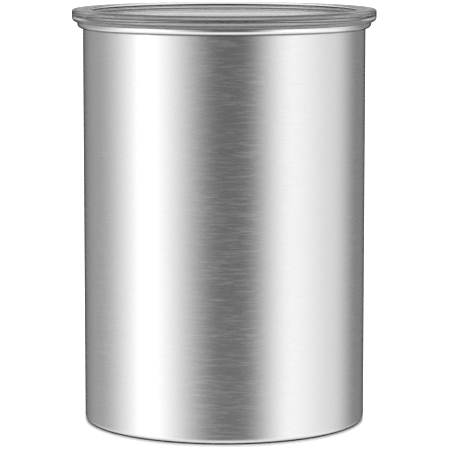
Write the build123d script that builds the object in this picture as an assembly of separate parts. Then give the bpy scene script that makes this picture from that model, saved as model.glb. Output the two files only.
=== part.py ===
"""Vacuum seal canister: a brushed steel can, a clear lid, and a plunger lid that is pushed down onto the food.

The plunger carries a wiper seal, and a vent valve in its middle. The folded handle holds the valve shut through
a cam, and a spring opens the valve as the handle is turned up. Millimetres, +Z up, origin at the base's centre.
"""
import math
import os

from build123d import *

# Pressed steel can
body_radius = 60.0
sheet = 0.6
rim_top = 171.4
bead_stand = 2.45
bead_rise_share = 0.55
bead_straight = 0.1
bead_curl_gap = 0.5
base_corner = 2.2
ring_width = 2.0
base_recess = 2.5
recess_run = 1.8
base_bend = 1.3

# Clear lid over the mouth
lid_clearance = 0.2
lid_seat_gap = 0.1
lid_rise = 4.6
lid_skirt = 2.0
lid_skirt_drop = 0.75
lid_edge_share = 0.95
lid_top_round = 1.0
lid_rim_width = 7.6
lid_panel = 2.0
lid_recess = 2.6
lid_fillet = 0.8
plug_gap = 1.8
plug_wall = 1.8
plug_depth = 10.0
relief_inset = 1.2
relief_width = 1.7
relief_roof = 1.5

# Silicone ring on the lid's plug
groove_drop = 3.6
groove_width = 4.0
groove_depth = 0.6
ring_clearance = 0.05
ring_stand = 0.35
flap_thick = 0.7
flap_tip = 0.4
flap_rise = 0.5
lid_flaps = 3
wall_gap = 0.15

# Plunger, two moulded halves round one vented chamber
plunger_rest = 100.0
plunger_gap = 2.0
plunger_wall = 2.0
plunger_floor = 2.0
plunger_round = 0.5
seal_seat = 2.2
chamber_height = 7.0
snap_gap = 0.2
snap_wall = 1.7
snap_lift = 2.5
dish_wall = 2.0
dish_inset = 1.0
dish_depth = 15.5
vent_count = 6
vent_radius = 1.3
vent_circle = 11.0
wiper_flaps = 2
wiper_stand = 1.1
wiper_flap_thick = 1.2
wiper_flap_rise = 0.9

# Vent valve
hole_radius = 4.5
seat_wall = 1.2
seat_height = 1.2
seat_gap = 0.05
stem_radius = 3.0
stem_clearance = 0.15
sleeve_wall = 1.45
sleeve_rise = 3.6
washer_thick = 1.25
plug_radius = 7.0
plug_thick = 1.8
spigot_drop = 0.5
valve_travel = 2.4
button_radius = 7.8
button_thick = 2.0
button_round = 0.7
button_socket = 1.1

# Spring round the stem
spring_space = 5.0
spring_radius = 6.0
spring_wire = 0.9
spring_turns = 2.75
spring_end_gap = 0.05

# Handle and its pin
pin_radius = 1.5
pin_hole_gap = 0.05
pin_bore_gap = 0.15
cam_reach = 6.0
cam_gap = 0.1
cam_half_width = 5.0
cam_corner = 1.4
barrel_half = 13.0
ear_gap = 0.3
ear_thick = 4.0
ear_radius = 4.2
arm_width = 6.0
handle_thick = 5.0
handle_round = 1.5
handle_end_gap = 11.7

# Outline of the handle, as shares of its reach from the pin
neck_share = 0.24
shoulder_share = 0.507
half_share = 0.827
neck_bend_share = 0.16
shoulder_bend_share = 0.213
grip_bend_share = 0.293

# Cuts run past what they cut by this much
overrun = 1.0

# Sizes that follow from those above
bore_radius = body_radius - sheet
bead_radius = body_radius + bead_stand
lid_top = rim_top + lid_rise
lid_radius = bead_radius + lid_clearance + lid_skirt
panel_top = lid_top - lid_recess
lid_plug_radius = bore_radius - plug_gap
plunger_radius = bore_radius - plunger_gap
skirt_radius = plunger_radius - seal_seat
deck_bottom = plunger_floor + chamber_height
deck_top = deck_bottom + plunger_wall
dish_radius = skirt_radius - dish_inset
handle_reach = dish_radius - dish_wall - handle_end_gap - arm_width / 2
seat_top = plunger_floor + seat_height
washer_bottom = seat_top + seat_gap
plug_bottom = washer_bottom + washer_thick
button_bottom = deck_top + spring_space
button_top = button_bottom + button_thick
pin_height = button_top + cam_gap + cam_reach
barrel_radius = cam_reach - valve_travel
cam_rate = valve_travel / math.radians(90)


def turned(section):
    """A ring turned about Z. The section lists its corners as radius, height and fillet."""
    corners = [(radius, height) for radius, height, _ in section]
    fillets = [fillet for _, _, fillet in section]
    outline = FilletPolyline(*corners, radius=fillets, close=True)
    return revolve(Plane.XZ * make_face(outline), Axis.Z)


def tube(inner, outer, bottom, top):
    """A plain ring about Z."""
    return turned([(inner, bottom, 0), (outer, bottom, 0), (outer, top, 0), (inner, top, 0)])


def finned_ring(inner, root, tip, bottom, top, fins, thick, rise):
    """A flexible ring with wiping flaps that lean upwards, evenly spaced over its height."""
    section = [(inner, top, 0), (inner, bottom, 0), (root, bottom, 0)]
    space = (top - bottom - fins * thick - rise) / fins
    for fin in range(fins):
        foot = bottom + space / 2 + fin * (space + thick)
        section.append((root, foot, 0))
        section.append((tip, foot + rise, 0))
        section.append((tip, foot + rise + flap_tip, 0))
        section.append((root, foot + thick, 0))
    section.append((root, top, 0))
    return turned(section)


def canister_body():
    """One sheet: recessed bottom, standing ring, wall, and a rim rolled outwards into an open bead."""
    half = sheet / 2
    middle = body_radius - half
    ring_inner = body_radius - base_corner - ring_width
    rise = bead_stand * bead_rise_share
    fall = bead_stand - rise
    curl = bead_stand - bead_curl_gap - half
    curl_height = rim_top - half - fall - bead_straight
    base = FilletPolyline(
        (0, base_recess + half),
        (ring_inner - recess_run, base_recess + half),
        (ring_inner, half),
        (middle, half),
        (middle, rim_top - half - rise),
        radius=[base_bend, base_bend, base_corner - half],
    )
    inner = JernArc(base @ 1, (0, 1), rise, -90)
    outer = JernArc(inner @ 1, (1, 0), fall, -90)
    drop = Line(outer @ 1, (bead_radius - half, curl_height))
    under = JernArc(drop @ 1, (0, -1), curl, -90)
    line = Wire(base.edges() + inner.edges() + outer.edges() + drop.edges() + under.edges())
    return revolve(Plane.XZ * trace(line, line_width=sheet), Axis.Z)


def outer_lid():
    """Clear moulding: raised rim round a sunk panel, cored from below, skirt over the bead, plug in the mouth."""
    seat = rim_top + lid_seat_gap
    skirt_inner = lid_radius - lid_skirt
    skirt_bottom = rim_top - lid_skirt_drop
    plug_end = rim_top - plug_depth
    rim_inner = lid_radius - lid_rim_width
    groove_top = rim_top - groove_drop
    groove_bottom = groove_top - groove_width
    groove_radius = lid_plug_radius - groove_depth
    relief_inner = lid_plug_radius + relief_inset
    relief_outer = relief_inner + relief_width
    return turned([
        (0, panel_top - lid_panel, 0),
        (lid_plug_radius - plug_wall, panel_top - lid_panel, lid_fillet),
        (lid_plug_radius - plug_wall, plug_end, 0),
        (lid_plug_radius, plug_end, 0),
        (lid_plug_radius, groove_bottom, 0),
        (groove_radius, groove_bottom, 0),
        (groove_radius, groove_top, 0),
        (lid_plug_radius, groove_top, 0),
        (lid_plug_radius, seat, 0),
        (relief_inner, seat, 0),
        (relief_inner, lid_top - relief_roof, 0),
        (relief_outer, lid_top - relief_roof, 0),
        (relief_outer, seat, 0),
        (skirt_inner, seat, 0),
        (skirt_inner, skirt_bottom, 0),
        (lid_radius, skirt_bottom, lid_skirt * lid_edge_share),
        (lid_radius, lid_top, lid_top_round),
        (rim_inner, lid_top, lid_fillet),
        (rim_inner, panel_top, lid_fillet),
        (0, panel_top, 0),
    ])


def lid_gasket():
    """Silicone ring in the groove of the lid's plug."""
    top = rim_top - groove_drop - ring_clearance
    bottom = rim_top - groove_drop - groove_width + ring_clearance
    inner = lid_plug_radius - groove_depth + ring_clearance
    root = lid_plug_radius + ring_stand
    return finned_ring(inner, root, bore_radius - wall_gap, bottom, top, lid_flaps, flap_thick, flap_rise)


def plunger_base():
    """Lower half of the plunger: floor, lip under the seal, skirt inside it, and the valve's raised seat."""
    skirt_top = deck_bottom - ring_clearance
    seat_radius = hole_radius + seat_wall
    return turned([
        (hole_radius, 0, 0),
        (plunger_radius, 0, plunger_round),
        (plunger_radius, plunger_floor, plunger_round),
        (skirt_radius, plunger_floor, 0),
        (skirt_radius, skirt_top, 0),
        (skirt_radius - plunger_wall, skirt_top, 0),
        (skirt_radius - plunger_wall, plunger_floor, 0),
        (seat_radius, plunger_floor, 0),
        (seat_radius, seat_top, 0),
        (hole_radius, seat_top, 0),
    ])


def plunger_dish():
    """Upper half: deck with the stem's sleeve and vents, snap ring below, open dish and two ears above."""
    snap_outer = skirt_radius - plunger_wall - snap_gap
    snap_inner = snap_outer - snap_wall
    sleeve_inner = stem_radius + stem_clearance
    sleeve_outer = sleeve_inner + sleeve_wall
    dish = turned([
        (sleeve_inner, deck_bottom, 0),
        (snap_inner, deck_bottom, 0),
        (snap_inner, plunger_floor + snap_lift, 0),
        (snap_outer, plunger_floor + snap_lift, 0),
        (snap_outer, deck_bottom, 0),
        (plunger_radius, deck_bottom, 0),
        (plunger_radius, deck_top, 0),
        (dish_radius, deck_top, 0),
        (dish_radius, deck_top + dish_depth, dish_wall / 2.5),
        (dish_radius - dish_wall, deck_top + dish_depth, dish_wall / 2.5),
        (dish_radius - dish_wall, deck_top, dish_wall),
        (sleeve_outer, deck_top, 0),
        (sleeve_outer, deck_top + sleeve_rise, 0),
        (sleeve_inner, deck_top + sleeve_rise, 0),
    ])
    vent = Pos(0, 0, deck_bottom - overrun) * extrude(Circle(vent_radius), plunger_wall + 2 * overrun)
    dish -= [place * vent for place in PolarLocations(vent_circle, vent_count)]
    for side in (-1, 1):
        dish += ear(side)
    return dish


def ear(side):
    """Upright plate with a round top, drilled for the handle's pin."""
    height = pin_height - deck_top
    plate = Pos(0, height / 2) * Rectangle(2 * ear_radius, height) + Pos(0, height) * Circle(ear_radius)
    plate -= Pos(0, height) * Circle(pin_radius + pin_hole_gap)
    inside = barrel_half + ear_gap
    start = inside if side > 0 else -inside - ear_thick
    return Pos(start, 0, deck_top) * extrude(Plane.YZ * plate, ear_thick)


def wiper_seal():
    """Silicone ring clamped between the plunger's halves, with flaps that wipe the can's wall."""
    inner = skirt_radius + ring_clearance
    root = plunger_radius - wiper_stand
    bottom = plunger_floor + ring_clearance
    top = deck_bottom - ring_clearance
    tip = bore_radius - wall_gap
    return finned_ring(inner, root, tip, bottom, top, wiper_flaps, wiper_flap_thick, wiper_flap_rise)


def valve_stem():
    """Stem with the plug disc that covers the hole, and a spigot below it that holds the washer."""
    stem_top = button_bottom + button_socket
    return turned([
        (0, seat_top - spigot_drop, 0),
        (stem_radius, seat_top - spigot_drop, 0),
        (stem_radius, plug_bottom, 0),
        (plug_radius, plug_bottom, 0),
        (plug_radius, plug_bottom + plug_thick, 0),
        (stem_radius, plug_bottom + plug_thick, 0),
        (stem_radius, stem_top, 0),
        (0, stem_top, 0),
    ])


def valve_washer():
    """Flat silicone ring that closes on the raised seat."""
    return tube(stem_radius + ring_clearance, plug_radius, washer_bottom, plug_bottom)


def valve_button():
    """Cap on the stem, which the cam bears on, with a blind socket below."""
    socket = stem_radius + ring_clearance
    return turned([
        (0, button_bottom + button_socket, 0),
        (socket, button_bottom + button_socket, 0),
        (socket, button_bottom, 0),
        (button_radius, button_bottom, 0),
        (button_radius, button_top, button_round),
        (0, button_top, 0),
    ])


def spring_point(turns):
    """A point of the spring's centre line and the direction of the wire there."""
    low = deck_top + spring_end_gap + spring_wire / 2
    high = button_bottom - spring_end_gap - spring_wire / 2
    pitch = (high - low) / spring_turns
    angle = 2 * math.pi * turns
    place = Vector(spring_radius * math.cos(angle), spring_radius * math.sin(angle), low + pitch * turns)
    way = Vector(-math.sin(angle), math.cos(angle), pitch / (2 * math.pi * spring_radius))
    return place, way.normalized()


def biarc(start, start_way, end, end_way):
    """Two arcs that meet smoothly and join two points with the given directions."""
    chord = end - start
    both = start_way + end_way
    bend = 2 * (1 - start_way.dot(end_way))
    along = chord.dot(both)
    arm = (math.sqrt(along ** 2 + bend * chord.dot(chord)) - along) / bend
    first = start + start_way * arm
    second = end - end_way * arm
    meeting = (first + second) * 0.5
    way = second - first
    return [TangentArc(start, meeting, tangent=start_way), TangentArc(meeting, end, tangent=way)]


def valve_spring():
    """One unbroken wire in open turns round the sleeve, with a straight end of one wire diameter at each side."""
    halves = round(2 * spring_turns)
    stops = [spring_point(spring_turns * half / halves) for half in range(halves + 1)]
    first, first_way = stops[0]
    last, last_way = stops[-1]
    pieces = [Line(first - first_way * spring_wire, first)]
    for (start, start_way), (end, end_way) in zip(stops, stops[1:]):
        pieces += biarc(start, start_way, end, end_way)
    pieces.append(Line(last, last + last_way * spring_wire))
    path = Wire([edge for piece in pieces for edge in piece.edges()])
    section = Plane(origin=path @ 0, z_dir=path % 0) * Circle(spring_wire / 2)
    print("least gap between the spring's turns", round(spring_gap(path), 2))
    return sweep(section, path=path)


def spring_gap(path):
    """Least clear distance between parts of the wire that lie over half a turn apart, measured on points."""
    count = round(64 * spring_turns)
    points = [path @ (step / count) for step in range(count + 1)]
    apart = round(count / spring_turns / 2)
    least = min(
        (points[i] - points[j]).length
        for i in range(len(points))
        for j in range(i + apart, len(points))
    )
    return least - spring_wire


def handle_pin():
    """Steel pin through both ears and the handle's barrel."""
    half = barrel_half + ear_gap + ear_thick
    return Pos(-half, 0, pin_height) * extrude(Plane.YZ * Circle(pin_radius), 2 * half)


def cam_point(turn):
    """Point of the cam that bears on the button when the handle has turned that far: its reach falls evenly."""
    reach = cam_reach - cam_rate * turn
    along = reach * math.sin(turn) - cam_rate * math.cos(turn)
    down = reach * math.cos(turn) + cam_rate * math.sin(turn)
    return along, -down


def cam():
    """Lobe below the barrel, whose curve lets the button rise evenly as the handle is turned up."""
    quarter = math.radians(90)
    working = Spline(
        *[cam_point(quarter * step / 6) for step in range(7)],
        tangents=[(1, 0), (0, 1)],
    )
    face = Polyline(
        working @ 1,
        (barrel_radius, 0),
        (0, barrel_radius),
        (-barrel_radius, 0),
        (-barrel_radius, -cam_reach),
        working @ 0,
    )
    lobe = make_face(working.edges() + face.edges())
    corner = lobe.vertices().sort_by_distance((-barrel_radius, -cam_reach))[0]
    lobe = fillet(corner, cam_corner)
    return Pos(-cam_half_width, 0, 0) * extrude(Plane.YZ * lobe, 2 * cam_half_width)


def handle():
    """Folding bail: a D of flat bar that lies forward in the dish, with the barrel and cam on its pin."""
    arm = barrel_half - arm_width / 2
    half = handle_reach * half_share
    neck = handle_reach * neck_share
    shoulder = handle_reach * shoulder_share
    neck_bend = handle_reach * neck_bend_share
    shoulder_bend = handle_reach * shoulder_bend_share
    grip_bend = handle_reach * grip_bend_share
    line = FilletPolyline(
        (-arm, 0),
        (-arm, -neck),
        (-half, -shoulder),
        (-half, -handle_reach),
        (half, -handle_reach),
        (half, -shoulder),
        (arm, -neck),
        (arm, 0),
        radius=[neck_bend, shoulder_bend, grip_bend, grip_bend, shoulder_bend, neck_bend],
    )
    bar = extrude(trace(line, line_width=arm_width), handle_thick / 2, both=True)
    long_edges = bar.edges().filter_by(lambda edge: edge.geom_type == GeomType.CIRCLE or edge.length > arm_width * 1.01)
    bar = fillet(long_edges.filter_by(Plane.XY), handle_round)
    barrel = Pos(-barrel_half, 0, 0) * extrude(Plane.YZ * Circle(barrel_radius), 2 * barrel_half)
    bore = Pos(-barrel_half - overrun, 0, 0) * extrude(
        Plane.YZ * Circle(pin_radius + pin_bore_gap), 2 * (barrel_half + overrun)
    )
    return Pos(0, 0, pin_height) * (bar + barrel + cam() - bore)


def main():
    """Writes each piece to its own file, the plunger's at its rest height."""
    can = {
        "canister_body": canister_body,
        "outer_lid": outer_lid,
        "lid_gasket": lid_gasket,
    }
    plunger = {
        "plunger_base": plunger_base,
        "plunger_dish": plunger_dish,
        "wiper_seal": wiper_seal,
        "valve_stem": valve_stem,
        "valve_washer": valve_washer,
        "valve_button": valve_button,
        "valve_spring": valve_spring,
        "handle_pin": handle_pin,
        "handle": handle,
    }
    os.makedirs("parts", exist_ok=True)
    for name, make in can.items():
        export_step(make(), f"parts/{name}.step")
    for name, make in plunger.items():
        export_step(Pos(0, 0, plunger_rest) * make(), f"parts/{name}.step")


main()
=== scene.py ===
"""Vacuum seal canister: a brushed steel can with a clear lid, and a plunger lid with a vent valve inside.

Sizes are in metres, +Z up, origin at the base's centre. Profiles are written as radius, height and fillet.
"""
import math

import bmesh
import bpy
import numpy as np
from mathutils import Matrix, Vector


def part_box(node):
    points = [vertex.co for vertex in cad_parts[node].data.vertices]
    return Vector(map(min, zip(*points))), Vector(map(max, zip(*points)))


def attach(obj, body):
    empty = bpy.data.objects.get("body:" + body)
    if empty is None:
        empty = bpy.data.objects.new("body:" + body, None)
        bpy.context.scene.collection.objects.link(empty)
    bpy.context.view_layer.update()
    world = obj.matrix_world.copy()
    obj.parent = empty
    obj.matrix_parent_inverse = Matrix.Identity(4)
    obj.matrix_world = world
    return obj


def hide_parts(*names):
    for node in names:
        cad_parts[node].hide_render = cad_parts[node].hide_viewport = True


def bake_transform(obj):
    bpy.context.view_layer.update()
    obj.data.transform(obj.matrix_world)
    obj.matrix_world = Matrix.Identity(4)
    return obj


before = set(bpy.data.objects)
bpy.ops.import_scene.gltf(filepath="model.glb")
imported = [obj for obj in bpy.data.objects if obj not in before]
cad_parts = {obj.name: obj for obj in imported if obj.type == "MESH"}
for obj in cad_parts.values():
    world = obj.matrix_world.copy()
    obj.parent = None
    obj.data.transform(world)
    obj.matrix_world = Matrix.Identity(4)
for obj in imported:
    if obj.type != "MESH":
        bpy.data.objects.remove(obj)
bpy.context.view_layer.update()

MM = 0.001

# How finely the shapes are drawn: points along each fillet, then round a turned piece, a hole or a wire
ROUND_STEPS = 8
LID_ROUND_STEPS = 12
CAN_ROUND_STEPS = 14
LOOP_ROUND_STEPS = 20
TURN_STEPS = 256
SHELL_TURN_STEPS = 384
DISH_TURN_STEPS = 192
CAP_TURN_STEPS = 128
STEM_TURN_STEPS = 96
PIN_TURN_STEPS = 64
PIN_HOLE_STEPS = 48
VENT_STEPS = 32
EAR_STEPS = 32
CAM_STEPS = 24
COIL_STEPS = 200
WIRE_STEPS = 20

# Shading: a run longer than LONG_RUN gets a point at HOLD from both of its ends, edges sharper than SHARP
# stay sharp, and the steel's shine is stretched along its UV map
HOLD = 0.1 * MM
LONG_RUN = 5 * HOLD
SHARP = math.radians(32)
SHINE_MAP = "surface"

# Points closer than this are one, an edge shorter than this is none, and no corner is straighter or sharper
SAME_PLACE = 1e-7
NO_LENGTH = 1e-8
LEAST_ANGLE = 1e-6

# Studio as the steel sees it. Each soft light has its azimuth from the camera's side towards +X, its half
# width, both in degrees, and its level. A pair of numbers is where a smooth step starts and ends, as an
# azimuth or as a height, which is the z of the ray's direction
SOFT_LIGHTS = [
    (-64, 62, 1.5), (-67, 11, 0.35), (-126, 44, 0.33),
    (56, 43, 1.3), (98, 41, 0.9), (142, 32, 0.14),
]
SURROUND = 0.165
CEILING = 0.8
CEILING_RISE = 0.5, 0.95
FLOOR_GLOW = 0.28
GLOW_FALL = -0.25, -0.4
FLOOR_WHITE = 1.2
FLOOR_FALL = -0.45, -0.65

# Behind the can: a dark gap at the horizon, and a sky above it with a lighter strip in its middle
BACK_SIDES = math.radians(154), math.radians(168)
BACK_GAP = 0.0
SKY_RISE = 0.0, 0.04
BESIDE_SKY = 0.36
BACK_SKY = 0.68
BACK_STRIP = math.radians(177.2), math.radians(178.9)

# Studio as seen through the clear lid: a white sheet behind, darker beside and above it, with a dark gap in
# its foot and the white floor below. The sheet's side is a step in the y of the ray's direction
SHEET_SIDE = 0.35, 0.8
BESIDE_SHEET = 0.17
SHEET_TOP = 0.0, 0.15
ABOVE_SHEET = 0.2
SHEET_GAP = 0.0
GAP_TOP = -0.02, -0.035
GAP_BOTTOM = -0.14, -0.09
SHEET_FLOOR_FALL = -0.3, -0.5

# Floor: its painted shadow by how open it is above, that shadow's reach, and where the can's foot stands on
# it
FLOOR_HALF = 40.0
FLOOR_GREY = 0.86
SHADOW_GREY = 0.05
SHADOW_SPAN = 0.1, 0.5
SHADOW_SAMPLES = 8
FLOOR_LIFT = 0.85
LIFT_SPAN = 0.5, 1.0
CONTACT_REACH = 14 * MM
SIDE_REACH_SHARE = 0.1
UNDER_CAN = 59.2 * MM
FOOT_FADE = 0.5 * MM

# How often light bounces, so that the lid's many walls stay clear
CLEAR_BOUNCES = 24
GLOSSY_BOUNCES = 12

# Sizes read from the frame. Most sizes after them have the CAD source's names and values, and a few small
# rounds are drawn here only
can_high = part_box("canister_body")[1]
lid_low, lid_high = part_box("outer_lid")
base_low, base_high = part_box("plunger_base")
dish_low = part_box("plunger_dish")[0]
gasket_low, gasket_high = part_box("lid_gasket")
wiper_low, wiper_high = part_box("wiper_seal")
stem_low, stem_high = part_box("valve_stem")
washer_low, washer_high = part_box("valve_washer")
button_low, button_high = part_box("valve_button")
spring_low, spring_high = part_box("valve_spring")
pin_low, pin_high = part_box("handle_pin")
handle_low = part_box("handle")[0]

# Cuts run past what they cut by this much
overrun = 1 * MM

# Pressed steel can
wall_radius = 60.0 * MM
sheet = 0.6 * MM
bead_radius = can_high.x
rim_top = can_high.z
bead_stand = bead_radius - wall_radius
bead_rise_share = 0.55
bead_rise = bead_rise_share * bead_stand
bead_fall = bead_stand - bead_rise
bead_straight = 0.1 * MM
bead_curl_gap = 0.5 * MM
bead_curl = bead_stand - bead_curl_gap - sheet / 2
bead_bottom = rim_top - sheet - bead_fall - bead_straight - bead_curl
base_corner = 2.2 * MM
ring_width = 2.0 * MM
base_recess = 2.5 * MM
recess_run = 1.8 * MM
base_bend = 1.3 * MM
bore_radius = wall_radius - sheet

# Steel's finish: fine grain and longer strokes, the polished bead, and painted shade in the crease under it
FINE_LENGTH = 3 * MM
FINE_WIDTH = 0.12 * MM
FINE_SPAN = 0.3, 0.7
FINE_DEPTH = 0.001 * MM
STROKE_LENGTH = 9 * MM
STROKE_WIDTH = 0.38 * MM
STROKE_SPAN = 0.47, 0.7
STROKE_ROW_STEP = 7.31
STEEL_GREY = 0.6, 0.64
STEEL_ROUGHNESS = 0.22, 0.26
STEEL_STRETCH = 0.6
SCRATCH_ROUGHNESS = 0.085
BEAD_FROM = bead_bottom - 0.4 * MM, bead_bottom - 0.1 * MM
BEAD_GREY = 0.7
BEAD_ROUGHNESS = 0.14
# Painted shade: the steel's colour darkens to this grey in the crease at the bead's foot
CREASE_SHADE_UNTIL = bead_bottom + 0.8 * MM, bead_bottom + 0.4 * MM
CREASE_SHADE_GREY = 0.17

# Other finishes. A roughness is its lowest and its highest
LID_COLOUR = 0.87, 0.875, 0.88
LID_ROUGHNESS = 0.0, 0.02
LID_IOR = 1.57
SILICONE_ROUGHNESS = 0.38, 0.55
SILICONE_IOR = 1.41
SILICONE_BUMP = 0.1
PLASTIC_GLOSSIER = 0.05
PLASTIC_DULLER = 0.06
PLASTIC_BUMP = 0.15
WIRE_COLOUR = 0.72, 0.72, 0.73
WIRE_ROUGHNESS = 0.16, 0.32
GRAIN_DEPTH = 0.02 * MM

# Clear lid
lid_radius = lid_high.x
lid_top = lid_high.z
plug_end = lid_low.z
lid_seat_gap = 0.1 * MM
lid_skirt = 2.0 * MM
lid_skirt_drop = 0.75 * MM
lid_edge_round = 1.9 * MM
lid_top_round = 1.0 * MM
lid_rim_width = 7.6 * MM
lid_panel = 2.0 * MM
lid_recess = 2.6 * MM
lid_fillet = 0.8 * MM
plug_gap = 1.8 * MM
plug_radius = bore_radius - plug_gap
plug_wall = 1.8 * MM
plug_round = 0.5 * MM
relief_inset = 1.2 * MM
relief_width = 1.7 * MM
relief_roof = 1.5 * MM
relief_round = 0.5 * MM
groove_drop = 3.6 * MM
groove_width = 4.0 * MM
groove_depth = 0.6 * MM

# Flexible rings
ring_stand = 0.35 * MM
ring_clearance = 0.05 * MM
ring_edge = 0.1 * MM
flap_thick = 0.7 * MM
flap_tip = 0.4 * MM
flap_tip_share = 0.45
flap_foot = 0.15 * MM
flap_rise = 0.5 * MM
lid_flaps = 3
wiper_flaps = 2
wiper_stand = 1.1 * MM
wiper_flap_thick = 1.2 * MM
wiper_flap_rise = 0.9 * MM

# Plunger
plunger_wall = 2.0 * MM
plunger_floor = 2.0 * MM
plunger_round = 0.5 * MM
seal_seat = 2.2 * MM
seat_height = 1.2 * MM
seat_wall = 1.2 * MM
seat_round = 0.2 * MM
hole_radius = 4.5 * MM
snap_gap = 0.2 * MM
snap_wall = 1.7 * MM
snap_round = 0.3 * MM
snap_lead = 0.5 * MM
dish_inset = 1.0 * MM
dish_wall = 2.0 * MM
dish_lip_share = 0.4
dish_depth = 15.5 * MM
sleeve_wall = 1.45 * MM
sleeve_rise = 3.6 * MM
sleeve_foot = 0.4 * MM
sleeve_lip = 0.2 * MM
deck_top = base_high.z + ring_clearance + plunger_wall
dish_top = deck_top + dish_depth
vent_count = 6
vent_radius = 1.3 * MM
vent_circle = 11.0 * MM
ear_gap = 0.3 * MM
ear_thick = 4.0 * MM
ear_radius = 4.2 * MM
ear_sink = 0.5 * MM
pin_hole_gap = 0.05 * MM

# Valve and spring
stem_radius = 3.0 * MM
stem_clearance = 0.15 * MM
stem_round = 0.3 * MM
spigot_round = 0.4 * MM
disc_thick = 1.8 * MM
disc_round = 0.2 * MM
washer_round = 0.3 * MM
washer_hole_round = 0.15 * MM
button_round = 0.7 * MM
button_edge = 0.3 * MM
button_socket = 1.1 * MM
socket_edge = 0.1 * MM
spring_wire = 0.9 * MM
spring_turns = 2.75

# Handle and its pin
barrel_half = 13.0 * MM
barrel_edge = 0.3 * MM
pin_radius = pin_high.y
pin_height = (pin_low.z + pin_high.z) / 2
pin_bevel = 0.3 * MM
pin_bore_gap = 0.15 * MM
cam_reach = 6.0 * MM
cam_half_width = 5.0 * MM
cam_corner = 1.4 * MM
valve_travel = 2.4 * MM
barrel_radius = cam_reach - valve_travel
arm_width = 6.0 * MM
handle_thick = 5.0 * MM
handle_round = 1.5 * MM
handle_reach = -handle_low.y - arm_width / 2
neck_share = 0.24
shoulder_share = 0.507
half_share = 0.827
neck_bend_share = 0.16
shoulder_bend_share = 0.213
grip_bend_share = 0.293

# Camera, from the outlines of the base, rim and lid in the photograph
camera_distance = 1.1401
camera_height = 0.2318
camera_pitch = math.radians(7.42)
camera_sight = 200.0
focal_pixels = 2681.0
picture_pixels = 450.0
centre_pixel = 224.24
sensor_width = 36.0


def unit(vectors):
    """Each vector divided by its length, or left at zero."""
    length = np.linalg.norm(vectors, axis=-1, keepdims=True)
    return vectors / np.where(length > 0, length, 1)


def rounded(corners, closed=True, steps=ROUND_STEPS):
    """Outline with arcs at its corners: rows of radius, height and fillet become points.

    A fillet f at a corner of inside angle A touches both runs at f / tan(A / 2) from the corner. Its centre
    is on the bisector, f / sin(A / 2) away, and its points turn evenly between the touching points.
    """
    corners = np.array(corners, float)
    points, fillets = corners[:, :2], corners[:, 2:3]
    back = unit(np.roll(points, 1, axis=0) - points)
    ahead = unit(np.roll(points, -1, axis=0) - points)
    if not closed:
        fillets[[0, -1]] = 0
    half = np.arccos(np.clip((back * ahead).sum(1, keepdims=True), -1, 1)) / 2
    half = np.clip(half, LEAST_ANGLE, math.pi / 2 - LEAST_ANGLE)
    centre = points + unit(back + ahead) * fillets / np.sin(half)
    first = points + back * fillets / np.tan(half) - centre
    last = points + ahead * fillets / np.tan(half) - centre
    turn = (math.pi - 2 * half)[:, None]
    share = np.linspace(0, 1, steps)[None, :, None]
    arc = np.sin((1 - share) * turn) * first[:, None] + np.sin(share * turn) * last[:, None]
    line = (centre[:, None] + arc / np.sin(turn)).reshape(-1, 2)
    kept = np.linalg.norm(line - np.roll(line, 1, axis=0), axis=1) > SAME_PLACE
    if not closed:
        kept[0] = True
    return held(line[kept], closed)


def held(line, closed):
    """The outline with a point near both ends of each long straight run, to keep its shading flat."""
    result = []
    for start, end in zip(line, np.roll(line, -1, axis=0) if closed else line[1:]):
        result.append(start)
        length = np.linalg.norm(end - start)
        if length > LONG_RUN:
            inset = (end - start) * HOLD / length
            result += [start + inset, end - inset]
    return np.array(result if closed else result + [line[-1]])


def thickened(line, thickness):
    """Closed outline of a sheet: the middle line moved half the thickness to each side along its normal."""
    along = unit(np.gradient(line, axis=0))
    normal = np.stack([-along[:, 1], along[:, 0]], axis=1)
    return np.concatenate([line + normal * thickness / 2, (line - normal * thickness / 2)[::-1]])


def mesh_piece(name, points, faces, uvs=None):
    """A mesh object at the origin from an array of points and an array or a list of faces."""
    mesh = bpy.data.meshes.new(name)
    mesh.from_pydata(points.tolist(), [], faces if isinstance(faces, list) else faces.tolist())
    if uvs is not None:
        mesh.uv_layers.new(name=SHINE_MAP).data.foreach_set("uv", uvs.astype(np.float32).ravel())
    bm = bmesh.new()
    bm.from_mesh(mesh)
    bmesh.ops.remove_doubles(bm, verts=bm.verts, dist=SAME_PLACE)
    bmesh.ops.dissolve_degenerate(bm, edges=bm.edges, dist=NO_LENGTH)
    bmesh.ops.recalc_face_normals(bm, faces=bm.faces)
    bm.to_mesh(mesh)
    bm.free()
    mesh.shade_smooth()
    mesh.set_sharp_from_angle(angle=SHARP)
    piece = bpy.data.objects.new(name, mesh)
    bpy.context.scene.collection.objects.link(piece)
    return piece


def grid_faces(rows, columns, row_loop, column_loop):
    """Corner numbers of the quads of a grid of points, row by row, closed where asked."""
    row = np.arange(rows if row_loop else rows - 1)[:, None]
    column = np.arange(columns if column_loop else columns - 1)[None, :]
    next_row, next_column = (row + 1) % rows, (column + 1) % columns
    corners = [row * columns + column, next_row * columns + column]
    corners += [next_row * columns + next_column, row * columns + next_column]
    return np.stack(corners, axis=-1).reshape(-1, 4)


def surface_uvs(rows, columns, row_loop, lengths):
    """UV of each quad's corners: u runs along the profile in metres, v once round."""
    row = np.arange(rows if row_loop else rows - 1)[:, None]
    column = np.arange(columns)[None, :] / columns
    start = np.broadcast_to(lengths[row], (len(row), columns))
    end = np.broadcast_to(lengths[row + 1], (len(row), columns))
    low = np.broadcast_to(column, start.shape)
    high = low + 1 / columns
    corners = [(start, low), (end, low), (end, high), (start, high)]
    return np.stack([np.stack(corner, axis=-1) for corner in corners], axis=2).reshape(-1, 2)


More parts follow.
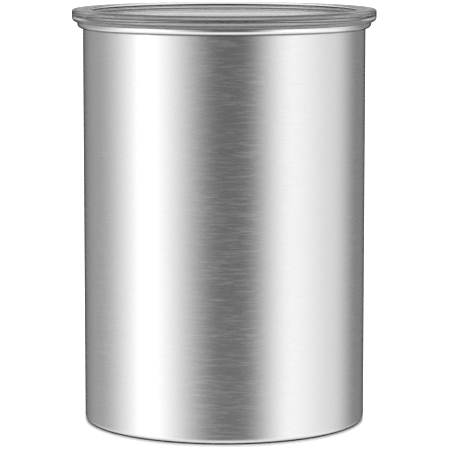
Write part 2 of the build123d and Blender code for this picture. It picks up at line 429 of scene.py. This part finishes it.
def turned(name, profile, closed=True, steps=TURN_STEPS, lift=0.0, along_x=False):
    """Surface of revolution: x = r cos a, y = r sin a, z = h, for the profile's points (r, h) and angles a.

    Where it turns about X, h runs along X instead, and r cos a and r sin a along Y and Z.
    """
    angle = np.arange(steps) / steps * 2 * math.pi
    radius, height = profile[:, :1], profile[:, 1:]
    across = radius * np.cos(angle)
    deep = radius * np.sin(angle)
    level = np.broadcast_to(height, across.shape)
    grid = (level, across, deep + lift) if along_x else (across, deep, level + lift)
    points = np.stack(grid, axis=-1).reshape(-1, 3)
    ring = np.concatenate([profile, profile[:1]])
    lengths = np.concatenate([[0], np.cumsum(np.linalg.norm(np.diff(ring, axis=0), axis=1))])
    faces = grid_faces(len(profile), steps, closed, True)
    return mesh_piece(name, points, faces, surface_uvs(len(profile), steps, closed, lengths))


def extruded(name, outline, low, high, along="Z"):
    """Prism between two places on an axis. Its outline is in X and Y, or in Y and Z if it runs along X."""
    ends = [np.column_stack([outline, np.full(len(outline), level)]) for level in (low, high)]
    points = np.concatenate(ends)
    if along == "X":
        points = points[:, [2, 0, 1]]
    count = len(outline)
    ring = np.arange(count)
    after = (ring + 1) % count
    sides = np.column_stack([ring, after, after + count, ring + count])
    faces = sides.tolist() + [ring[::-1].tolist(), (ring + count).tolist()]
    return mesh_piece(name, points, faces)


def joined(piece, tool, operation):
    """The piece with the tool's solid joined on or cut away, and the tool removed."""
    change = piece.modifiers.new("join", "BOOLEAN")
    change.operation = operation
    change.solver = "EXACT"
    change.object = tool
    result = piece.evaluated_get(bpy.context.evaluated_depsgraph_get())
    mesh = bpy.data.meshes.new_from_object(result)
    piece.modifiers.remove(change)
    piece.data = mesh
    bpy.data.objects.remove(tool)
    mesh.shade_smooth()
    mesh.set_sharp_from_angle(angle=SHARP)
    return piece


def disc(radius, steps):
    """Points of a circle: radius times cos a and sin a."""
    angle = np.arange(steps) / steps * 2 * math.pi
    return radius * np.stack([np.cos(angle), np.sin(angle)], axis=1)


def finned(name, low, high, inner, root, fins, thick, rise):
    """Ring between two heights with flaps that lean upwards, evenly spaced, with rounded tips."""
    tip = high.x
    space = (high.z - low.z - fins * thick - rise) / fins
    section = [(inner, high.z, 0), (inner, low.z, 0), (root, low.z, ring_edge)]
    for fin in range(fins):
        foot = low.z + space / 2 + fin * (space + thick)
        section.append((root, foot, flap_foot))
        section.append((tip, foot + rise, flap_tip * flap_tip_share))
        section.append((tip, foot + rise + flap_tip, flap_tip * flap_tip_share))
        section.append((root, foot + thick, flap_foot))
    section.append((root, high.z, ring_edge))
    return turned(name, rounded(section))


def canister_body():
    """Pressed sheet: the metal's middle line from the bottom's centre to the rolled rim, made thick."""
    half = sheet / 2
    middle = wall_radius - half
    ring_inner = wall_radius - base_corner - ring_width
    bead_middle = bead_radius - half
    under = bead_bottom + half
    line = rounded([
        (0, base_recess + half, 0),
        (ring_inner - recess_run, base_recess + half, base_bend),
        (ring_inner, half, base_bend),
        (middle, half, base_corner - half),
        (middle, rim_top - half, bead_rise),
        (bead_middle, rim_top - half, bead_fall),
        (bead_middle, under, bead_curl),
        (bead_middle - bead_curl, under, 0),
    ], closed=False, steps=CAN_ROUND_STEPS)
    return turned("canister_shell", thickened(line, sheet), steps=SHELL_TURN_STEPS)


def outer_lid():
    """Clear moulding: raised rim round a sunk panel, skirt over the bead, plug with its ring's groove."""
    seat = rim_top + lid_seat_gap
    skirt_inner = lid_radius - lid_skirt
    skirt_bottom = rim_top - lid_skirt_drop
    panel_top = lid_top - lid_recess
    rim_inner = lid_radius - lid_rim_width
    groove_top = rim_top - groove_drop
    groove_bottom = groove_top - groove_width
    relief_inner = plug_radius + relief_inset
    relief_outer = relief_inner + relief_width
    profile = rounded([
        (0, panel_top - lid_panel, 0),
        (plug_radius - plug_wall, panel_top - lid_panel, lid_fillet),
        (plug_radius - plug_wall, plug_end, 0),
        (plug_radius, plug_end, plug_round),
        (plug_radius, groove_bottom, 0),
        (plug_radius - groove_depth, groove_bottom, 0),
        (plug_radius - groove_depth, groove_top, 0),
        (plug_radius, groove_top, 0),
        (plug_radius, seat, 0),
        (relief_inner, seat, 0),
        (relief_inner, lid_top - relief_roof, relief_round),
        (relief_outer, lid_top - relief_roof, relief_round),
        (relief_outer, seat, 0),
        (skirt_inner, seat, 0),
        (skirt_inner, skirt_bottom, 0),
        (lid_radius, skirt_bottom, lid_edge_round),
        (lid_radius, lid_top, lid_top_round),
        (rim_inner, lid_top, lid_fillet),
        (rim_inner, panel_top, lid_fillet),
        (0, panel_top, 0),
    ], closed=False, steps=LID_ROUND_STEPS)
    return turned("clear_lid", profile, closed=False, steps=SHELL_TURN_STEPS)


def lid_gasket():
    """Silicone ring in the groove of the lid's plug."""
    inner = plug_radius - groove_depth + ring_clearance
    root = plug_radius + ring_stand
    return finned("lid_ring", gasket_low, gasket_high, inner, root, lid_flaps, flap_thick, flap_rise)


def wiper_seal():
    """Silicone ring between the plunger's halves, with two flaps that wipe the wall."""
    inner = base_high.x - seal_seat + ring_clearance
    root = base_high.x - wiper_stand
    return finned(
        "wiper_ring", wiper_low, wiper_high, inner, root, wiper_flaps, wiper_flap_thick, wiper_flap_rise,
    )


def plunger_base():
    """Lower half of the plunger, with its skirt and the raised seat round the valve's hole."""
    skirt = base_high.x - seal_seat
    seat = hole_radius + seat_wall
    bottom = base_low.z
    floor = bottom + plunger_floor
    return turned("plunger_floor", rounded([
        (hole_radius, bottom, plunger_round),
        (base_high.x, bottom, plunger_round),
        (base_high.x, floor, plunger_round),
        (skirt, floor, 0),
        (skirt, base_high.z, 0),
        (skirt - plunger_wall, base_high.z, 0),
        (skirt - plunger_wall, floor, plunger_round),
        (seat, floor, 0),
        (seat, floor + seat_height, seat_round),
        (hole_radius, floor + seat_height, seat_round),
    ]))


def plunger_dish():
    """Upper half: deck with sleeve and vents, snap ring below, dish wall and the two ears for the pin."""
    skirt = base_high.x - seal_seat
    snap_outer = skirt - plunger_wall - snap_gap
    snap_inner = snap_outer - snap_wall
    sleeve_inner = stem_radius + stem_clearance
    sleeve_outer = sleeve_inner + sleeve_wall
    wall = skirt - dish_inset
    deck = deck_top - plunger_wall
    dish = turned("plunger_dish_shell", rounded([
        (sleeve_inner, deck, 0),
        (snap_inner, deck, snap_round),
        (snap_inner, dish_low.z, snap_round),
        (snap_outer, dish_low.z, snap_lead),
        (snap_outer, deck, 0),
        (base_high.x, deck, snap_round),
        (base_high.x, deck_top, plunger_round),
        (wall, deck_top, plunger_round),
        (wall, dish_top, dish_wall * dish_lip_share),
        (wall - dish_wall, dish_top, dish_wall * dish_lip_share),
        (wall - dish_wall, deck_top, dish_wall),
        (sleeve_outer, deck_top, sleeve_foot),
        (sleeve_outer, deck_top + sleeve_rise, plunger_round),
        (sleeve_inner, deck_top + sleeve_rise, sleeve_lip),
    ]), steps=DISH_TURN_STEPS)
    for vent in range(vent_count):
        angle = 2 * math.pi * vent / vent_count
        place = vent_circle * np.array([math.cos(angle), math.sin(angle)])
        hole = disc(vent_radius, VENT_STEPS) + place
        joined(dish, extruded("vent", hole, deck - overrun, deck_top + overrun), "DIFFERENCE")
    for side in (-1, 1):
        joined(dish, ear(side), "UNION")
    return dish


def ear(side):
    """Upright plate with a round top about the pin, and the pin's hole through it."""
    turn = np.linspace(0, math.pi, EAR_STEPS)
    top = np.stack([ear_radius * np.cos(turn), pin_height + ear_radius * np.sin(turn)], axis=1)
    foot = [(-ear_radius, deck_top - ear_sink), (ear_radius, deck_top - ear_sink)]
    inside = barrel_half + ear_gap
    low, high = sorted((side * inside, side * (inside + ear_thick)))
    plate = extruded("ear", np.concatenate([foot, top]), low, high, along="X")
    hole = disc(pin_radius + pin_hole_gap, PIN_HOLE_STEPS) + np.array([0, pin_height])
    return joined(plate, extruded("hole", hole, low - overrun, high + overrun, along="X"), "DIFFERENCE")


def valve_stem():
    """Stem, the plug disc that covers the hole, and the spigot that holds the washer."""
    return turned("valve_plug", rounded([
        (0, stem_low.z, 0),
        (stem_radius, stem_low.z, spigot_round),
        (stem_radius, washer_high.z, 0),
        (stem_high.x, washer_high.z, disc_round),
        (stem_high.x, washer_high.z + disc_thick, plunger_round),
        (stem_radius, washer_high.z + disc_thick, stem_round),
        (stem_radius, stem_high.z, stem_round),
        (0, stem_high.z, 0),
    ], closed=False), closed=False, steps=STEM_TURN_STEPS)


def valve_washer():
    """Flat silicone ring that closes on the raised seat."""
    inner = stem_radius + ring_clearance
    return turned("valve_ring", rounded([
        (inner, washer_low.z, washer_hole_round),
        (washer_high.x, washer_low.z, washer_round),
        (washer_high.x, washer_high.z, washer_round),
        (inner, washer_high.z, washer_hole_round),
    ]), steps=STEM_TURN_STEPS)


def valve_button():
    """Cap that the cam bears on, with the stem's socket below."""
    socket = stem_radius + ring_clearance
    return turned("valve_cap", rounded([
        (0, button_low.z + button_socket, 0),
        (socket, button_low.z + button_socket, 0),
        (socket, button_low.z, socket_edge),
        (button_high.x, button_low.z, button_edge),
        (button_high.x, button_high.z, button_round),
        (0, button_high.z, 0),
    ], closed=False), closed=False, steps=CAP_TURN_STEPS)


def swept(name, line, across, up, section):
    """Tube along a line: each point plus the section's two sizes along the line's own across and up."""
    points = line[:, None] + section[None, :, :1] * across[:, None] + section[None, :, 1:] * up[:, None]
    rows, columns = len(line), len(section)
    ends = [np.arange(columns)[::-1].tolist(), (np.arange(columns) + (rows - 1) * columns).tolist()]
    return mesh_piece(name, points.reshape(-1, 3), grid_faces(rows, columns, False, True).tolist() + ends)


def valve_spring():
    """Helix x = R cos a, y = R sin a, z = pitch a / 2 pi, of round wire with a straight run at each end."""
    radius = spring_high.y - spring_wire / 2
    low = spring_low.z + spring_wire / 2
    pitch = (spring_high.z - spring_wire / 2 - low) / spring_turns
    angle = np.linspace(0, spring_turns * 2 * math.pi, COIL_STEPS)
    climb = low + pitch * angle / (2 * math.pi)
    line = np.stack([radius * np.cos(angle), radius * np.sin(angle), climb], axis=1)
    slope = np.full_like(angle, pitch / (2 * math.pi * radius))
    way = unit(np.stack([-np.sin(angle), np.cos(angle), slope], axis=1))
    line = np.concatenate([line[:1] - way[:1] * spring_wire, line, line[-1:] + way[-1:] * spring_wire])
    way = np.concatenate([way[:1], way, way[-1:]])
    out = unit(line * [1, 1, 0])
    out = unit(out - (out * way).sum(1, keepdims=True) * way)
    return swept("coil_spring", line, out, np.cross(way, out), disc(spring_wire / 2, WIRE_STEPS))


def handle_pin():
    """Drawn pin with chamfered ends, along X."""
    half = pin_high.x
    end_radius = pin_radius - pin_bevel
    return turned("hinge_pin", np.array([
        (0, -half), (end_radius, -half), (pin_radius, pin_bevel - half),
        (pin_radius, half - pin_bevel), (end_radius, half), (0, half),
    ]), closed=False, steps=PIN_TURN_STEPS, lift=pin_height, along_x=True)


def cam_outline():
    """Cam whose reach from the pin falls evenly with the turn t: reach = c - k t along (sin t, -cos t).

    The point that touches a flat button is reach times that direction, less k times the one square to it.
    """
    turn = np.linspace(0, math.pi / 2, CAM_STEPS)
    rate = valve_travel / (math.pi / 2)
    reach = cam_reach - rate * turn
    working = np.stack([
        reach * np.sin(turn) - rate * np.cos(turn),
        -reach * np.cos(turn) - rate * np.sin(turn),
    ], axis=1)
    back = rounded([
        (barrel_radius, 0, 0), (0, barrel_radius / 2, 0), (-barrel_radius, 0, 0),
        (-barrel_radius, -cam_reach, cam_corner), (working[0, 0], working[0, 1], 0),
    ], closed=False)
    return np.concatenate([working, back[:-1]]) + [0, pin_height]


def handle():
    """Folding loop: flat bar with rounded edges, the barrel on its pin, and the cam in its middle."""
    arm = barrel_half - arm_width / 2
    half, neck, shoulder = handle_reach * np.array([half_share, neck_share, shoulder_share])
    bends = handle_reach * np.array([neck_bend_share, shoulder_bend_share, grip_bend_share])
    neck_bend, shoulder_bend, grip_bend = bends
    line = rounded([
        (-arm, 0, 0),
        (-arm, -neck, neck_bend),
        (-half, -shoulder, shoulder_bend),
        (-half, -handle_reach, grip_bend),
        (half, -handle_reach, grip_bend),
        (half, -shoulder, shoulder_bend),
        (arm, -neck, neck_bend),
        (arm, 0, 0),
    ], closed=False, steps=LOOP_ROUND_STEPS)
    way = unit(np.gradient(line, axis=0))
    line = np.column_stack([line, np.full(len(line), pin_height)])
    across = np.column_stack([-way[:, 1], way[:, 0], np.zeros(len(way))])
    up = np.broadcast_to([0.0, 0.0, 1.0], across.shape)
    half_width, half_thick = arm_width / 2, handle_thick / 2
    section = rounded([
        (-half_width, -half_thick, handle_round), (half_width, -half_thick, handle_round),
        (half_width, half_thick, handle_round), (-half_width, half_thick, handle_round),
    ])
    bar = swept("folding_handle", line, across, up, section)
    roller = turned("barrel", rounded([
        (0, -barrel_half, 0),
        (barrel_radius, -barrel_half, barrel_edge),
        (barrel_radius, barrel_half, barrel_edge),
        (0, barrel_half, 0),
    ], closed=False), closed=False, steps=STEM_TURN_STEPS, lift=pin_height, along_x=True)
    joined(bar, roller, "UNION")
    joined(bar, extruded("cam", cam_outline(), -cam_half_width, cam_half_width, along="X"), "UNION")
    bore = disc(pin_radius + pin_bore_gap, PIN_HOLE_STEPS) + np.array([0, pin_height])
    return joined(bar, extruded("bore", bore, -2 * barrel_half, 2 * barrel_half, along="X"), "DIFFERENCE")


def fill(tree, node, **inputs):
    """The node with its sockets set, or linked where the value is another node's socket.

    An underscore in a name stands for a space, and a name such as _2 for the socket with that number.
    """
    for name, value in inputs.items():
        socket = node.inputs[int(name[1:])] if name[0] == "_" else node.inputs[name.replace("_", " ")]
        if isinstance(value, bpy.types.NodeSocket):
            tree.links.new(value, socket)
        else:
            socket.default_value = value
    return node


def add(tree, kind, settings=(), **inputs):
    """A new shader node with its settings and its sockets' values or links."""
    node = tree.nodes.new(kind)
    for name, value in dict(settings).items():
        setattr(node, name, value)
    return fill(tree, node, **inputs)


def maths(tree, operation, *values):
    """Result of a maths node."""
    inputs = {f"_{place}": value for place, value in enumerate(values)}
    return add(tree, "ShaderNodeMath", {"operation": operation}, **inputs).outputs[0]


def ramp(tree, value, start, end, low=0.0, high=1.0):
    """Smooth step from low at the start to high at the end."""
    return add(
        tree, "ShaderNodeMapRange", {"interpolation_type": "SMOOTHSTEP"}, Value=value,
        From_Min=start, From_Max=end, To_Min=low, To_Max=high,
    ).outputs[0]


def spread(tree, value, low, high, start=0.0, end=1.0):
    """Even change from low at the start to high at the end."""
    return add(
        tree, "ShaderNodeMapRange", Value=value, From_Min=start, From_Max=end, To_Min=low, To_Max=high,
    ).outputs[0]


def blended(tree, share, first, second):
    """First where the share is 0, second where it is 1."""
    return add(tree, "ShaderNodeMix", {"data_type": "FLOAT"}, Factor=share, _2=first, _3=second).outputs[0]


def noise(tree, place, scale, detail):
    """Plain noise with about that many features to each unit of its coordinates."""
    return add(tree, "ShaderNodeTexNoise", Vector=place, Scale=scale, Detail=detail).outputs[0]


def bumped(tree, height, strength, depth):
    """Normal of a surface whose grain is that deep, in metres."""
    return add(tree, "ShaderNodeBump", Strength=strength, Distance=depth, Height=height).outputs[0]


def finish(name):
    """A new material with its node tree, its main shader and its Object coordinates."""
    material = bpy.data.materials.new(name)
    material.use_nodes = True
    tree = material.node_tree
    place = add(tree, "ShaderNodeTexCoord").outputs["Object"]
    return material, tree, tree.nodes["Principled BSDF"], place


def stretched_noise(tree, place, length, width):
    """Noise in level streaks, that long round the can and that wide up it, in metres."""
    placed = add(tree, "ShaderNodeMapping", Vector=place, Scale=(1 / length, 1 / length, 1 / width))
    return noise(tree, placed.outputs[0], scale=1.0, detail=2.0)


def level_strokes(tree, place, length, width):
    """Noise that changes from one thin level row to the next and is that long round the can, in metres."""
    parts = add(tree, "ShaderNodeSeparateXYZ", Vector=place).outputs
    row = maths(tree, "FLOOR", maths(tree, "DIVIDE", parts[2], width))
    row = maths(tree, "MULTIPLY", row, STROKE_ROW_STEP)
    across, deep = (maths(tree, "DIVIDE", part, length) for part in parts[:2])
    placed = add(tree, "ShaderNodeCombineXYZ", X=across, Y=deep, Z=row)
    return noise(tree, placed.outputs[0], scale=1.0, detail=1.0)


def brushed_steel():
    """Stainless sheet brushed round the can: level marks in colour, roughness and bump, stretched shine."""
    material, tree, surface, place = finish("brushed_steel")
    fine = stretched_noise(tree, place, FINE_LENGTH, FINE_WIDTH)
    scratch = ramp(tree, level_strokes(tree, place, STROKE_LENGTH, STROKE_WIDTH), *STROKE_SPAN)
    height = add(tree, "ShaderNodeSeparateXYZ", Vector=place).outputs[2]
    polished = ramp(tree, height, *BEAD_FROM)
    # Painted shade: the crease at the foot of the bead is given a darker grey
    crease_shade = maths(tree, "MULTIPLY", polished, ramp(tree, height, *CREASE_SHADE_UNTIL))
    grey = spread(tree, fine, *STEEL_GREY, *FINE_SPAN)
    grey = blended(tree, polished, grey, BEAD_GREY)
    grey = blended(tree, crease_shade, grey, CREASE_SHADE_GREY)
    rough = spread(tree, fine, *STEEL_ROUGHNESS, *FINE_SPAN)
    rough = maths(tree, "ADD", rough, maths(tree, "MULTIPLY", scratch, SCRATCH_ROUGHNESS))
    rough = blended(tree, polished, rough, BEAD_ROUGHNESS)
    colour = add(tree, "ShaderNodeCombineColor", Red=grey, Green=grey, Blue=grey).outputs[0]
    tangent = add(tree, "ShaderNodeTangent", {"direction_type": "UV_MAP", "uv_map": SHINE_MAP}).outputs[0]
    fill(
        tree, surface, Base_Color=colour, Roughness=rough, Normal=bumped(tree, fine, 1.0, FINE_DEPTH),
        Tangent=tangent, Metallic=1.0, Anisotropic=STEEL_STRETCH,
    )
    return material


def clear_plastic():
    """Clear moulded lid: smooth, with the faintest haze."""
    material, tree, surface, place = finish("clear_plastic")
    haze = noise(tree, place, scale=90.0, detail=2.0)
    fill(
        tree, surface, Base_Color=(*LID_COLOUR, 1), Roughness=spread(tree, haze, *LID_ROUGHNESS),
        Transmission_Weight=1.0, IOR=LID_IOR,
    )
    return material


def soft_silicone(name, colour, see_through):
    """Silicone: matt, slightly milky, with a very fine grain."""
    material, tree, surface, place = finish(name)
    grain = noise(tree, place, scale=2500.0, detail=3.0)
    fill(
        tree, surface, Base_Color=(*colour, 1), Roughness=spread(tree, grain, *SILICONE_ROUGHNESS),
        Normal=bumped(tree, grain, SILICONE_BUMP, GRAIN_DEPTH), Transmission_Weight=see_through,
        IOR=SILICONE_IOR,
    )
    return material


def moulded_plastic(name, colour, roughness):
    """Satin moulded plastic: fine grain in its bump, and roughness that drifts a little."""
    material, tree, surface, place = finish(name)
    grain = noise(tree, place, scale=1800.0, detail=4.0)
    cloud = noise(tree, place, scale=60.0, detail=2.0)
    fill(
        tree, surface, Base_Color=(*colour, 1), Normal=bumped(tree, grain, PLASTIC_BUMP, GRAIN_DEPTH),
        Roughness=spread(tree, cloud, roughness - PLASTIC_GLOSSIER, roughness + PLASTIC_DULLER),
    )
    return material


def drawn_wire():
    """Bright stainless wire with faint drawing marks."""
    material, tree, surface, place = finish("drawn_wire")
    marks = noise(tree, place, scale=900.0, detail=3.0)
    fill(
        tree, surface, Base_Color=(*WIRE_COLOUR, 1), Roughness=spread(tree, marks, *WIRE_ROUGHNESS),
        Metallic=1.0,
    )
    return material


def soft_light(tree, azimuth, centre, half_width, level):
    """Radiance of one soft light: its level at its azimuth, fading to nothing at its half width."""
    turned_by = maths(tree, "SUBTRACT", azimuth, math.radians(centre))
    away = maths(tree, "ABSOLUTE", maths(tree, "WRAP", turned_by, math.pi, -math.pi))
    return ramp(tree, away, math.radians(half_width), 0.0, 0.0, level)


def studio():
    """Plain studio: soft lights left and right, a pale ceiling, a white floor, and a white sheet behind."""
    world = bpy.data.worlds.new("studio")
    bpy.context.scene.world = world
    world.use_nodes = True
    world.cycles.sampling_method = "NONE"
    tree = world.node_tree
    direction = add(tree, "ShaderNodeTexCoord").outputs["Generated"]
    across, depth, height = add(tree, "ShaderNodeSeparateXYZ", Vector=direction).outputs
    azimuth = maths(tree, "ARCTAN2", across, maths(tree, "MULTIPLY", depth, -1.0))
    around = maths(tree, "ABSOLUTE", azimuth)
    level = SURROUND
    for light in SOFT_LIGHTS:
        level = maths(tree, "ADD", level, soft_light(tree, azimuth, *light))
    sky = ramp(tree, around, *BACK_STRIP, BESIDE_SKY, BACK_SKY)
    back = blended(tree, ramp(tree, height, *SKY_RISE), BACK_GAP, sky)
    level = blended(tree, ramp(tree, around, *BACK_SIDES), level, back)
    level = blended(tree, ramp(tree, height, *CEILING_RISE), level, CEILING)
    level = maths(tree, "ADD", level, ramp(tree, height, *GLOW_FALL, 0.0, FLOOR_GLOW))
    level = blended(tree, ramp(tree, height, *FLOOR_FALL), level, FLOOR_WHITE)
    sheet_light = ramp(tree, height, *SHEET_TOP, 1.0, ABOVE_SHEET)
    sheet_light = blended(tree, ramp(tree, depth, *SHEET_SIDE), BESIDE_SHEET, sheet_light)
    gap = maths(tree, "MULTIPLY", ramp(tree, height, *GAP_TOP), ramp(tree, height, *GAP_BOTTOM))
    sheet_light = blended(tree, gap, sheet_light, SHEET_GAP)
    sheet_light = blended(tree, ramp(tree, height, *SHEET_FLOOR_FALL), sheet_light, FLOOR_WHITE)
    rays = add(tree, "ShaderNodeLightPath").outputs
    level = blended(tree, rays["Is Transmission Ray"], level, sheet_light)
    level = blended(tree, rays["Is Camera Ray"], level, 1.0)
    fill(tree, tree.nodes["Background"], Color=(1, 1, 1, 1), Strength=level)


def studio_floor():
    """Wide white floor with the can's shadow plus a painted one, a wide soft edge in front and narrow
    beside.

    Beyond the can's foot the steel and the lid see through it, to the light that the studio has below.
    """
    mesh = bpy.data.meshes.new("studio_floor")
    signs = [(-1, -1), (1, -1), (1, 1), (-1, 1)]
    mesh.from_pydata([(x * FLOOR_HALF, y * FLOOR_HALF, 0) for x, y in signs], [], [(0, 1, 2, 3)])
    floor = bpy.data.objects.new("studio_floor", mesh)
    bpy.context.scene.collection.objects.link(floor)
    material, tree, surface, place = finish("white_floor")
    tree.nodes.remove(surface)
    distance = add(tree, "ShaderNodeVectorMath", {"operation": "LENGTH"}, _0=place).outputs["Value"]
    across = maths(tree, "DIVIDE", add(tree, "ShaderNodeSeparateXYZ", Vector=place).outputs[0], distance)
    sideways = maths(tree, "POWER", across, 2.0)
    reach = blended(tree, sideways, CONTACT_REACH, SIDE_REACH_SHARE * CONTACT_REACH)
    shadow = add(tree, "ShaderNodeAmbientOcclusion", {"samples": SHADOW_SAMPLES}, Distance=reach)
    open_above = shadow.outputs["AO"]
    # Painted shadow: the floor's grey, and its glow below, fall where it is less open above
    grey = ramp(tree, open_above, *SHADOW_SPAN, SHADOW_GREY, FLOOR_GREY)
    paint = add(tree, "ShaderNodeBsdfDiffuse", Color=grey).outputs[0]
    rays = add(tree, "ShaderNodeLightPath").outputs
    seen = maths(tree, "MAXIMUM", rays["Is Camera Ray"], rays["Is Transmission Ray"])
    lift = maths(tree, "MULTIPLY", seen, ramp(tree, open_above, *LIFT_SPAN, 0.0, FLOOR_LIFT))
    glow = add(tree, "ShaderNodeEmission", Strength=lift).outputs[0]
    both = add(tree, "ShaderNodeAddShader", _0=paint, _1=glow).outputs[0]
    clear = add(tree, "ShaderNodeBsdfTransparent").outputs[0]
    bounced = maths(tree, "MAXIMUM", rays["Is Glossy Ray"], rays["Is Transmission Ray"])
    beyond = ramp(tree, distance, UNDER_CAN, UNDER_CAN + FOOT_FADE)
    gone = maths(tree, "MULTIPLY", bounced, beyond)
    shown = add(tree, "ShaderNodeMixShader", _0=gone, _1=both, _2=clear).outputs[0]
    fill(tree, tree.nodes["Material Output"], Surface=shown)
    mesh.materials.append(material)


def camera():
    """Long lens in front of the can and a little above it."""
    lens = bpy.data.cameras.new("camera")
    lens.sensor_width = sensor_width
    lens.lens = focal_pixels / picture_pixels * sensor_width
    lens.shift_x = (picture_pixels / 2 - centre_pixel) / picture_pixels
    lens.clip_end = camera_sight
    eye = bpy.data.objects.new("camera", lens)
    eye.location = (0, -camera_distance, camera_height)
    eye.rotation_euler = (math.pi / 2 - camera_pitch, 0, 0)
    bpy.context.scene.collection.objects.link(eye)
    bpy.context.scene.camera = eye


def dress(piece, material, slot, body, *nodes):
    """Gives a piece its finish, hides the CAD nodes it stands for, and lets it ride on its body."""
    piece.data.materials.clear()
    piece.data.materials.append(material)
    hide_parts(*nodes)
    if body is not None:
        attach(piece, body)


steel = brushed_steel()
clear = clear_plastic()
milky = soft_silicone("milky_silicone", colour=(0.82, 0.83, 0.84), see_through=0.6)
grey_rubber = soft_silicone("grey_silicone", colour=(0.16, 0.16, 0.17), see_through=0.0)
black = moulded_plastic("black_plastic", colour=(0.035, 0.035, 0.038), roughness=0.32)
grey = moulded_plastic("grey_plastic", colour=(0.36, 0.36, 0.37), roughness=0.34)
wire = drawn_wire()

dress(canister_body(), steel, "brushed_steel", "canister", "canister_body")
dress(outer_lid(), clear, "clear_plastic", "lid", "outer_lid")
dress(lid_gasket(), milky, "clear_silicone", "lid", "lid_gasket")
dress(plunger_base(), black, "plunger_plastic", "plunger", "plunger_base")
dress(plunger_dish(), black, "plunger_plastic", "plunger", "plunger_dish")
dress(wiper_seal(), grey_rubber, "grey_silicone", "plunger", "wiper_seal")
dress(handle_pin(), wire, "spring_steel", "plunger", "handle_pin")
dress(valve_stem(), grey, "valve_plastic", "valve", "valve_stem")
dress(valve_washer(), grey_rubber, "grey_silicone", "valve", "valve_washer")
dress(valve_button(), grey, "valve_plastic", "valve", "valve_button")
dress(handle(), black, "handle_plastic", "handle", "handle")
spring = valve_spring()
dress(spring, wire, "spring_steel", None, "valve_spring")
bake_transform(spring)

studio()
studio_floor()
camera()
bpy.context.scene.view_settings.view_transform = "Standard"
bpy.context.scene.cycles.max_bounces = CLEAR_BOUNCES
bpy.context.scene.cycles.transmission_bounces = CLEAR_BOUNCES
bpy.context.scene.cycles.glossy_bounces = GLOSSY_BOUNCES
